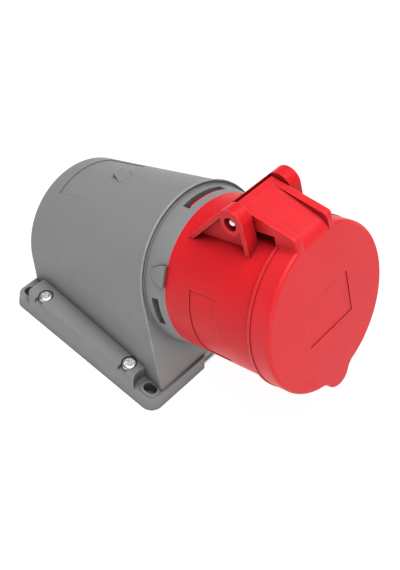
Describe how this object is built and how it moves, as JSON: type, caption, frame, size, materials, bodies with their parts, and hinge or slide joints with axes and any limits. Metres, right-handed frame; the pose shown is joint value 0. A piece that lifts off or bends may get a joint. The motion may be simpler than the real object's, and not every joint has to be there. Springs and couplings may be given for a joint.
{
  "type": "angled wall-mounted industrial power socket with a hinged lid",
  "caption": "Angled wall socket: drafted grey base and arched hood carry a round red body with bayonet collar; a round sprung lid hinges over its contacts.",
  "frame": {"origin": "middle of the base on the mounting face", "axes": "+Z away from the wall, +X towards the socket's mouth, which is raised by the tilt of the socket axis, +Y to the left when looking along +X"},
  "size_m": [0.2161, 0.13, 0.1347],
  "materials": {
    "grey_plate": "fine moulded texture",
    "grey_hood": "fine moulded texture",
    "grey_gland": "smooth moulded",
    "red_body": "smooth moulded",
    "red_lid": "smooth moulded",
    "black_carrier": "moulded",
    "contact_brass": "nickel-free turned brass",
    "screw_steel": "zinc plated",
    "pin_steel": "drawn steel",
    "black_rubber": "matt"
  },
  "bodies": {
    "housing": {"base_plate": "grey_plate", "hood": "grey_hood", "cover_screws": "screw_steel", "socket_body": "red_body", "spigot_seal": "black_rubber", "contact_carrier": "black_carrier", "carrier_screws": "screw_steel", "contact_pe": "contact_brass", "contact_l1": "contact_brass", "contact_l2": "contact_brass", "contact_l3": "contact_brass", "contact_n": "contact_brass", "contact_pilot": "contact_brass", "terminal_screws": "screw_steel", "terminal_holder": "black_carrier", "holder_screws": "screw_steel", "hinge_pin": "pin_steel", "lid_spring": "pin_steel", "gland_body": "grey_gland", "gland_seal": "black_rubber", "gland_nut": "grey_gland", "gland_locknut": "grey_gland"},
    "lid": {"lid": "red_lid", "lid_gasket": "black_rubber"}
  },
  "joints": [
    {"name": "lid_hinge", "type": "hinge", "parent": "housing", "child": "lid", "pos_m": [0.0742, 0, 0.12697], "axis": [0, -1, 0], "range_deg": [0, 100], "stiffness_Nm_per_rad": 0.08, "springref_deg": -34.38, "deforming": ["lid_spring"]}
  ]
}
